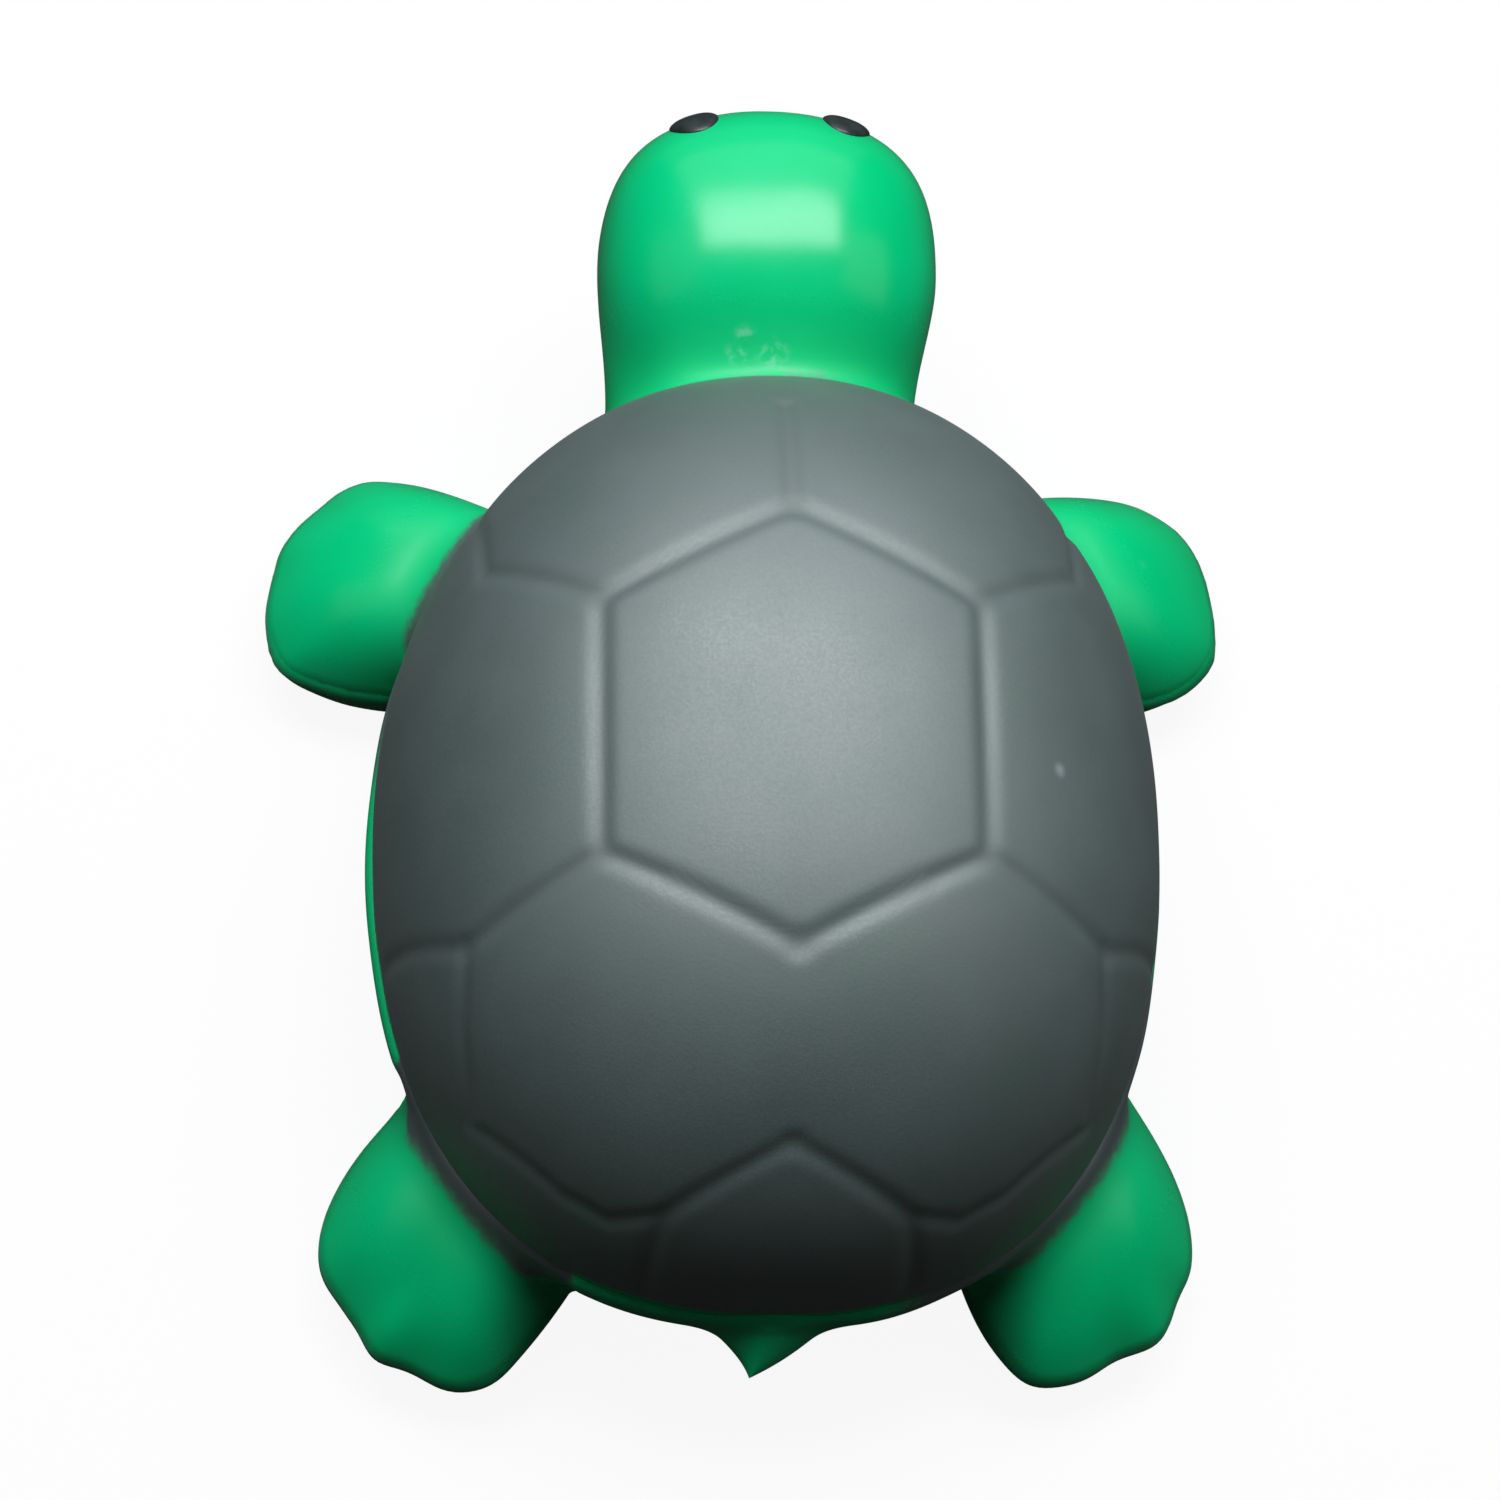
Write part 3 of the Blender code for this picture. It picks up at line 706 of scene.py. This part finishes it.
def add_foam_body(material):
    item = joined_solids()
    points = mesh_points(item.data)
    points[:, 2] = np.maximum(points[:, 2], 0)
    set_mesh_points(item.data, settle(points, swollen_form, SETTLE_STEPS))
    remesh(item)
    refine_tail(item.data)
    edges = np.empty(len(item.data.edges) * 2, int)
    item.data.edges.foreach_get("vertices", edges)
    edges = edges.reshape(-1, 2)
    points = settle(mesh_points(item.data), foam_form, RESETTLE_STEPS)
    for _ in range(RELAX_STEPS):
        points = relax(points, edges, foam_form)
    points = settle(points, foam_form, FINISH_STEPS)
    set_mesh_points(item.data, points)
    add_parting_line(item)
    item.data.shade_smooth()
    item.data.materials.clear()
    item.data.materials.append(material)
    points = mesh_points(item.data)
    smooth_normals(item.data, points)
    spray, dust = spray_shares(points)
    add_values(item.data, "spray", spray)
    add_values(item.data, "dust", dust)
    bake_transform(item, "body", "shell", start=(0, 0, 0), end=(0, 0, RIM))
    add_values(item.data, "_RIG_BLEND", squeeze_share(points))
    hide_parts(*FOAM_NODES)
    return item


def disc_grid(count):
    """Even grid of quads over a disc: each point's radius and angle, and the quads."""
    line = np.linspace(-1, 1, count + 1)
    u, v = (values.ravel() for values in np.meshgrid(line, line))
    radius = np.maximum(np.abs(u), np.abs(v))
    wide = np.abs(u) >= np.abs(v)
    turn = math.pi / 4 * np.where(wide, v, u) / np.maximum(np.where(wide, np.abs(u), np.abs(v)), TINY)
    angle = np.where(wide, np.where(u < 0, math.pi - turn, turn),
                     np.where(v < 0, turn - math.pi / 2, math.pi / 2 - turn))
    index = np.arange((count + 1) ** 2).reshape(count + 1, count + 1)
    corners = (index[:-1, :-1], index[:-1, 1:], index[1:, 1:], index[1:, :-1])
    return radius, angle, np.stack(corners, axis=-1).reshape(-1, 4)


def signed_power(value, exponent):
    return np.sign(value) * np.abs(value) ** exponent


def dome_points(share, angle, height):
    exponent = 2 / np.where(np.sin(angle) < 0, FRONT_POWER, REAR_POWER)
    x = signed_power(np.cos(angle), exponent) * SHELL_HALF[0] * share
    y = signed_power(np.sin(angle), exponent) * SHELL_HALF[1] * share
    return np.stack((x - lean(-y), y + MIDDLE[1], RIM + height), axis=1)


def dome_over(sideways, ahead):
    """Point of the dome over a plan point."""
    x = abs(sideways) / SHELL_HALF[0]
    y = abs(ahead) / SHELL_HALF[1]
    exponent = FRONT_POWER if ahead > 0 else REAR_POWER
    share = min((x ** exponent + y ** exponent) ** (1 / exponent), 1.0)
    height = (1 - share ** CROWN_POWER) ** (1 / CROWN_POWER) * RISE
    return np.array((sideways - lean(ahead), MIDDLE[1] - ahead, RIM + height))


def groove_lines():
    """Runs of plan points, with their depth as a share of the full one."""
    lines = [((HEX_FRONT, NAPE_END), SIDE_GROOVE)]
    for side in (1, -1):
        def plan(point):
            return (side * point[0], point[1])
        front, rear = plan(HEX_FRONT_SHOULDER), plan(HEX_REAR_SHOULDER)
        margin = [plan(point) for point in MARGIN]
        lines.append(((HEX_FRONT, front, rear, HEX_REAR), MIDDLE_GROOVE))
        lines.append(((front, plan(FRONT_FORK), plan(FRONT_FORK_RIM)), SIDE_GROOVE))
        lines.append(((rear, plan(REAR_FORK)), SIDE_GROOVE))
        lines.append(((plan(REAR_FORK), plan(REAR_FORK_RIM)), MARGIN_GROOVE))
        lines.append(((plan(REAR_FORK), *margin, plan(CHEVRON_END)), MARGIN_GROOVE))
        lines.append(((CHEVRON, plan(CHEVRON_END), plan(CHEVRON_RIM)), SIDE_GROOVE))
    return lines


def line_distance(points, run):
    """Distance to a run of straight plan lines laid over the dome."""
    nearest = np.full(len(points), np.inf)
    for start, end in zip(run, run[1:]):
        length = math.dist(start, end)
        count = max(2, math.ceil(length / GROOVE_STEP))
        stops = [
            dome_over(*(np.array(start) + (np.array(end) - start) * step / count))
            for step in range(count + 1)
        ]
        for a, b in zip(stops, stops[1:]):
            along = np.clip((points - a) @ (b - a) / ((b - a) @ (b - a)), 0, 1)
            nearest = np.minimum(nearest, np.linalg.norm(points - a - along[:, None] * (b - a), axis=1))
    return nearest


def groove_shares(points):
    """How deep each point lies in the grooves, and in the wide dips beside them, from 0 to 1."""
    level = np.ones(len(points))
    dip = np.ones(len(points))
    for run, depth in groove_lines():
        distance = line_distance(points, run)
        level *= 1 - depth * np.exp(-(distance / GROOVE_REACH) ** 2)
        dip *= 1 - depth * np.exp(-(distance / PILLOW_REACH) ** 2)
    return 1 - level, 1 - dip


def facet_share(points):
    """1 in the middle of the middle scute, falling to 0 at its grooves."""
    ahead = MIDDLE[1] - points[:, 1]
    across = np.abs(points[:, 0] + lean(ahead)) / HEX_FRONT_SHOULDER[0]
    front = (across * (HEX_FRONT[1] - HEX_FRONT_SHOULDER[1]) + ahead) / HEX_FRONT[1]
    rear = (across * (HEX_REAR[1] - HEX_REAR_SHOULDER[1]) + ahead) / HEX_REAR[1]
    return np.maximum(1 - np.max((across, front, rear), axis=0) ** 2, 0)


def add_shell_skin(material):
    radius, angle, quads = disc_grid(SHELL_GRID)
    turn = radius * math.pi / 2
    share = np.sin(turn) ** (2 / CROWN_POWER)
    height = np.maximum(np.cos(turn), 0) ** (2 / CROWN_POWER) * RISE
    points = dome_points(share, angle, height)
    normal = normals_of(shell_form, points + (0, 0, PROBE))
    groove, dip = groove_shares(points)
    cover = paint_cover(points)
    groove *= smooth_step((1 - radius) / GROOVE_FADE)
    depth = groove * GROOVE_DEPTH + dip * PILLOW_DEPTH + facet_share(points) * FACET_DEPTH
    points -= normal * depth[:, None]
    edge = radius == 1
    skirt = last_third(root_share(points[edge]))
    points[edge, 2] -= SKIN_TUCK + (SKIN_SKIRT - SKIN_TUCK) * skirt
    mesh = bpy.data.meshes.new("shell_skin")
    mesh.from_pydata(points, [], quads.tolist())
    add_values(mesh, "groove", groove)
    add_values(mesh, "cover", cover)
    item = add_object("shell_skin", mesh)
    thicken(item, SKIN)
    item.data.shade_smooth()
    item.data.set_sharp_from_angle(angle=math.radians(SKIN_CREASE))
    item.data.materials.append(material)
    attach(item, "shell")
    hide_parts("shell")
    return item


def add_eye(node, material):
    """Raised oval of paint that hugs the head."""
    low, high = (np.array(corner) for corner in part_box(node))
    anchor = settle(((low + high) / 2 + (HEAD_LEAN, 0, EYE_LIFT))[None, :], foam_form, SETTLE_STEPS)
    out = normals_of(foam_form, anchor)[0]
    side = np.cross((0, 0, 1), out)
    side /= np.linalg.norm(side)
    up = np.cross(out, side)
    radius, angle, quads = disc_grid(EYE_GRID)
    across = radius * np.cos(angle) * EYE_WIDTH / 2
    tall = radius * np.sin(angle) * EYE_TALL / 2
    points = settle(anchor + across[:, None] * side + tall[:, None] * up, foam_form, SETTLE_STEPS)
    normal = normals_of(foam_form, points)
    crown = np.sqrt(np.maximum(1 - radius ** EYE_POWER, 0))
    points += normal * (crown * (EYE_RAISE + EYE_SINK) - EYE_SINK)[:, None]
    mesh = bpy.data.meshes.new(f"{node}_paint")
    mesh.from_pydata(points, [], quads.tolist())
    item = add_object(f"{node}_paint", mesh)
    thicken(item, EYE_RAISE)
    item.data.shade_smooth()
    item.data.materials.append(material)
    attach(item, "body")
    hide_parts(node)
    return item


def srgb(red, green, blue):
    """Linear colour from 8-bit sRGB values."""
    def linear(value):
        value /= 255
        return value / 12.92 if value <= 0.04045 else ((value + 0.055) / 1.055) ** 2.4
    return (linear(red), linear(green), linear(blue), 1.0)


class Shader:
    """A node material with a Principled BSDF, built up by short calls."""

    def __init__(self, name):
        self.material = bpy.data.materials.new(name)
        self.material.use_nodes = True
        self.tree = self.material.node_tree
        self.surface = self.tree.nodes["Principled BSDF"]
        self.place = self.add("ShaderNodeTexCoord").outputs["Object"]

    def add(self, kind, **settings):
        node = self.tree.nodes.new(kind)
        for key, value in settings.items():
            setattr(node, key, value)
        return node

    def link(self, source, target):
        self.tree.links.new(source, target)

    def feed(self, node, name, value):
        """Set a socket's value, or link another node's output to it."""
        socket = node.inputs[name]
        if isinstance(value, bpy.types.NodeSocket):
            self.link(value, socket)
        else:
            socket.default_value = value

    def noise(self, scale, detail=2.0, roughness=0.5):
        node = self.add("ShaderNodeTexNoise")
        self.link(self.place, node.inputs["Vector"])
        node.inputs["Scale"].default_value = scale
        node.inputs["Detail"].default_value = detail
        node.inputs["Roughness"].default_value = roughness
        return node.outputs["Fac"]

    def remap(self, value, low, high, to_low, to_high, smooth=False):
        node = self.add("ShaderNodeMapRange", interpolation_type="SMOOTHSTEP" if smooth else "LINEAR")
        for name, number in zip(("Value", "From Min", "From Max", "To Min", "To Max"),
                                (value, low, high, to_low, to_high)):
            self.feed(node, name, number)
        return node.outputs["Result"]

    def vary(self, noise, low, high):
        """A noise spread from low to high."""
        return self.remap(noise, *NOISE_RANGE, low, high)

    def math(self, operation, first, second=0.0, clamp=False):
        node = self.add("ShaderNodeMath", operation=operation, use_clamp=clamp)
        self.feed(node, 0, first)
        self.feed(node, 1, second)
        return node.outputs["Value"]

    def mix(self, share, first, second):
        node = self.add("ShaderNodeMix", data_type="RGBA")
        self.feed(node, "Factor", share)
        self.feed(node, 6, first)
        self.feed(node, 7, second)
        return node.outputs[2]

    def spot(self, middle, reach):
        """1 at a place, falling to 0 at a distance from it."""
        node = self.add("ShaderNodeVectorMath", operation="DISTANCE")
        self.link(self.place, node.inputs[0])
        node.inputs[1].default_value = middle
        return self.remap(node.outputs["Value"], 0.0, reach, 1.0, 0.0, smooth=True)

    def coordinate(self, axis):
        node = self.add("ShaderNodeSeparateXYZ")
        self.link(self.place, node.inputs[0])
        return node.outputs[axis]

    def value(self, name):
        return self.add("ShaderNodeAttribute", attribute_name=name).outputs["Fac"]

    def bump(self, height, strength, distance):
        node = self.add("ShaderNodeBump")
        node.inputs["Strength"].default_value = strength
        node.inputs["Distance"].default_value = distance
        self.link(height, node.inputs["Height"])
        self.link(node.outputs["Normal"], self.surface.inputs["Normal"])


# Colours
FOAM_GREEN = srgb(3, 207, 127)
FOAM_DEEP = srgb(2, 199, 116)
# pale green of the scuffs, also used for the painted highlight along the parting line
FOAM_SCUFF_AND_HIGHLIGHT = srgb(120, 214, 170)
PAINT_GREY = srgb(52, 76, 73)
PAINT_DARK = srgb(44, 68, 65)
PAINT_THIN = srgb(16, 92, 62)
# darker grey for the painted shade in the grooves
PAINT_GROOVE_SHADE = srgb(44, 62, 61)
PAINT_CHIP = srgb(120, 130, 130)
EYE_BLACK = srgb(34, 42, 40)
EYE_WORN = srgb(46, 56, 53)
FLOOR_PALE = srgb(240, 240, 240)
FLOOR_DIM = srgb(45, 45, 45)     # what the floor throws back onto the toy

# Sheen and roughness
PAINT_SHEEN = 2.8           # refractive index, high for the strong soft sheen of the grey
PAINT_TINT = (0.94, 0.99, 0.90, 1.0)
FOAM_SHEEN = 1.46
FOAM_ROUGH = (0.21, 0.26)
GRAIN_ROUGH = 0.02          # more or less than that, by the foam's grain
DUST_ROUGH = 0.25           # more than that under spray dust
SPRAY_ROUGH = 0.66          # paint on the foam
PAINT_ROUGH = (0.64, 0.69)
SPECK_ROUGH = 0.03
EDGE_ROUGH = 0.32           # foam that shows at the paint's edge
EYE_ROUGH = (0.30, 0.42)

# Noise, in waves per metre
FOAM_CLOUD = 85.0
FOAM_GRAIN = 2600.0
FOAM_WEAR = 1400.0
PAINT_CLOUD = 110.0
PAINT_SPECK = 4200.0
EYE_CLOUD = 900.0
EYE_GRAIN = 3000.0
NOISE_RANGE = (0.3, 0.7)    # where most of a noise's values lie
BUMP_DEPTH = 0.0001


def foam_material():
    """Self-skinned foam: satin, slightly cloudy, finely grained, with scuffs and a painted highlight along
    the parting line.
    """
    shader = Shader("green_foam")
    cloud = shader.noise(FOAM_CLOUD, 3.0)
    grain = shader.noise(FOAM_GRAIN, 2.0)
    worn = shader.noise(FOAM_WEAR, 3.0)
    base = shader.mix(shader.vary(cloud, 0.0, 1.0), FOAM_DEEP, FOAM_GREEN)
    # painted highlight: a paler line along the parting line, standing in for the light that its ridge
    # catches
    from_line = shader.math("ABSOLUTE", shader.math("SUBTRACT", shader.coordinate("Z"), PARTING_LEVEL))
    line = shader.remap(from_line, PARTING_HIGHLIGHT_CORE, PARTING_HIGHLIGHT_REACH, PARTING_HIGHLIGHT_SHARE, 0.0, smooth=True)
    outside = shader.math("ABSOLUTE", shader.coordinate("X"))
    line = shader.math("MULTIPLY", line, shader.remap(outside, PARTING_HIGHLIGHT_START, PARTING_HIGHLIGHT_FULL, 0.0, 1.0))
    line = shader.math("MULTIPLY", line, shader.vary(cloud, 0.4, 1.0))
    base = shader.mix(line, base, FOAM_SCUFF_AND_HIGHLIGHT)
    for place, reach in SCUFFS:
        spot = shader.spot(place, reach)
        mark = shader.math("MULTIPLY", spot, shader.remap(worn, 0.45, 0.62, 0.0, 0.7))
        base = shader.mix(mark, base, FOAM_SCUFF_AND_HIGHLIGHT)
    spray = shader.math("ADD", shader.value("spray"), shader.vary(cloud, -0.12, 0.12))
    spray = shader.math("ADD", spray, shader.vary(worn, -0.10, 0.10))
    spray = shader.remap(spray, 0.20, 0.80, 0.0, 1.0, smooth=True)
    shader.link(shader.mix(spray, base, PAINT_DARK), shader.surface.inputs["Base Color"])
    rough = shader.vary(cloud, *FOAM_ROUGH)
    rough = shader.math("ADD", rough, shader.vary(grain, -GRAIN_ROUGH, GRAIN_ROUGH))
    rough = shader.math("ADD", rough, shader.math("MULTIPLY", shader.value("dust"), DUST_ROUGH))
    rough = shader.remap(spray, 0.0, 1.0, rough, SPRAY_ROUGH)
    shader.link(rough, shader.surface.inputs["Roughness"])
    shader.link(shader.remap(spray, 0.0, 1.0, FOAM_SHEEN, PAINT_SHEEN), shader.surface.inputs["IOR"])
    shader.bump(grain, 0.05, BUMP_DEPTH)
    return shader.material


def paint_material():
    """Thin sprayed grey with a soft edge, through which the green foam shows in places."""
    shader = Shader("grey_paint")
    cloud = shader.noise(PAINT_CLOUD, 4.0)
    speck = shader.noise(PAINT_SPECK, 2.0)
    paint = shader.mix(shader.vary(cloud, 0.0, 1.0), PAINT_DARK, PAINT_GREY)
    for place, reach in THIN_PLACES:
        spot = shader.spot(place, reach)
        thin = shader.math("MULTIPLY", spot, shader.remap(cloud, 0.40, 0.62, 0.05, 0.50))
        paint = shader.mix(thin, paint, PAINT_THIN)
    # painted shade: the paint is darker down in the grooves
    paint = shader.mix(shader.math("MULTIPLY", shader.value("groove"), 0.25), paint, PAINT_GROOVE_SHADE)
    spray = shader.math("ADD", shader.value("cover"), shader.vary(cloud, -0.12, 0.12))
    spray = shader.math("ADD", spray, shader.vary(speck, -0.08, 0.08))
    cover = shader.remap(spray, 0.10, 0.95, 0.0, 1.0, smooth=True)
    base = shader.mix(cover, FOAM_GREEN, paint)
    for place, reach in PAINT_CHIPS:
        base = shader.mix(shader.spot(place, reach), base, PAINT_CHIP)
    shader.link(base, shader.surface.inputs["Base Color"])
    shader.link(shader.remap(cover, 0.0, 1.0, FOAM_SHEEN, PAINT_SHEEN), shader.surface.inputs["IOR"])
    shader.surface.inputs["Specular Tint"].default_value = PAINT_TINT
    rough = shader.vary(cloud, *PAINT_ROUGH)
    rough = shader.math("ADD", rough, shader.vary(speck, -SPECK_ROUGH, SPECK_ROUGH))
    shader.link(shader.remap(cover, 0.0, 1.0, EDGE_ROUGH, rough), shader.surface.inputs["Roughness"])
    shader.bump(speck, 0.10, BUMP_DEPTH)
    return shader.material


def eye_material():
    shader = Shader("black_paint")
    cloud = shader.noise(EYE_CLOUD, 3.0)
    base = shader.mix(shader.remap(cloud, 0.35, 0.65, 0.0, 1.0), EYE_BLACK, EYE_WORN)
    shader.link(base, shader.surface.inputs["Base Color"])
    shader.link(shader.vary(cloud, *EYE_ROUGH), shader.surface.inputs["Roughness"])
    shader.bump(shader.noise(EYE_GRAIN), 0.08, BUMP_DEPTH)
    return shader.material


def add_floor():
    """Pale floor that looks near white to the camera and still takes the toy's shadow."""
    mesh = bpy.data.meshes.new("floor")
    form = bmesh.new()
    bmesh.ops.create_grid(form, x_segments=1, y_segments=1, size=FLOOR_SIZE / 2)
    form.to_mesh(mesh)
    form.free()
    floor = add_object("floor", mesh)
    floor.location.z = -FLOOR_DROP
    shader = Shader("floor")
    shader.surface.inputs["Roughness"].default_value = 0.9
    shader.surface.inputs["Specular IOR Level"].default_value = 0.1
    glow = shader.add("ShaderNodeEmission")
    glow.inputs["Color"].default_value = (1.0, 1.0, 1.0, 1.0)
    path = shader.add("ShaderNodeLightPath")
    gloss = shader.math("MULTIPLY", path.outputs["Is Glossy Ray"], FLOOR_GLOSS)
    seen = shader.math("ADD", path.outputs["Is Camera Ray"], path.outputs["Is Transmission Ray"])
    seen = shader.math("ADD", seen, gloss, clamp=True)
    shader.link(shader.mix(seen, FLOOR_DIM, FLOOR_PALE), shader.surface.inputs["Base Color"])
    mixed = shader.add("ShaderNodeMixShader")
    shader.link(shader.math("MULTIPLY", seen, FLOOR_GLOW), mixed.inputs["Fac"])
    shader.link(shader.surface.outputs["BSDF"], mixed.inputs[1])
    shader.link(glow.outputs["Emission"], mixed.inputs[2])
    shader.link(mixed.outputs["Shader"], shader.tree.nodes["Material Output"].inputs["Surface"])
    mesh.materials.append(shader.material)


def add_area_light(name, place, target, size, power, colour):
    data = bpy.data.lights.new(name, "AREA")
    data.shape = "RECTANGLE"
    data.size, data.size_y = size
    data.energy = power
    data.color = colour
    light = add_object(name, data)
    light.location = place
    light.rotation_euler = (Vector(place) - Vector(target)).to_track_quat("Z", "Y").to_euler()


def add_world(strength):
    world = bpy.data.worlds.new("studio")
    world.use_nodes = True
    tree = world.node_tree
    background = tree.nodes["Background"]
    background.inputs["Color"].default_value = (1.0, 1.0, 1.0, 1.0)
    path = tree.nodes.new("ShaderNodeLightPath")
    level = tree.nodes.new("ShaderNodeMapRange")
    level.inputs["To Min"].default_value = strength
    level.inputs["To Max"].default_value = 1.0
    tree.links.new(path.outputs["Is Camera Ray"], level.inputs["Value"])
    tree.links.new(level.outputs["Result"], background.inputs["Strength"])
    bpy.context.scene.world = world


def add_camera():
    azimuth, elevation, roll = (math.radians(v) for v in (CAMERA_AZIMUTH, CAMERA_ELEVATION, CAMERA_ROLL))
    back = Vector((
        math.sin(azimuth) * math.cos(elevation),
        math.cos(azimuth) * math.cos(elevation),
        math.sin(elevation),
    ))
    level_right = (-back).cross(Vector((0, -1, 0))).normalized()
    level_up = level_right.cross(-back)
    right = level_right * math.cos(roll) + level_up * math.sin(roll)
    up = level_up * math.cos(roll) - level_right * math.sin(roll)
    data = bpy.data.cameras.new("camera")
    data.sensor_width = 36.0
    data.lens = data.sensor_width / 2 / math.tan(math.radians(CAMERA_VIEW) / 2)
    data.clip_start = 0.01
    camera = add_object("camera", data)
    turn = Matrix((right, up, back)).transposed()
    camera.matrix_world = Matrix.Translation(Vector(CAMERA_TARGET) + back * CAMERA_DISTANCE) @ turn.to_4x4()
    bpy.context.scene.camera = camera


def add_lights():
    for name, tilt, turn, size, power, colour in LAMPS:
        tilt, turn = math.radians(tilt), math.radians(turn)
        toward = Vector((math.sin(tilt) * math.sin(turn), -math.sin(tilt) * math.cos(turn), math.cos(tilt)))
        add_area_light(name, LAMP_TARGET + toward * LAMP_DISTANCE, LAMP_TARGET, size, power, colour)
    add_world(WORLD_LEVEL)


def build():
    add_foam_body(foam_material())
    add_shell_skin(paint_material())
    black = eye_material()
    for node in ("left_eye", "right_eye"):
        add_eye(node, black)
    add_floor()
    add_lights()
    add_camera()
    bpy.context.scene.view_settings.view_transform = "Standard"


build()
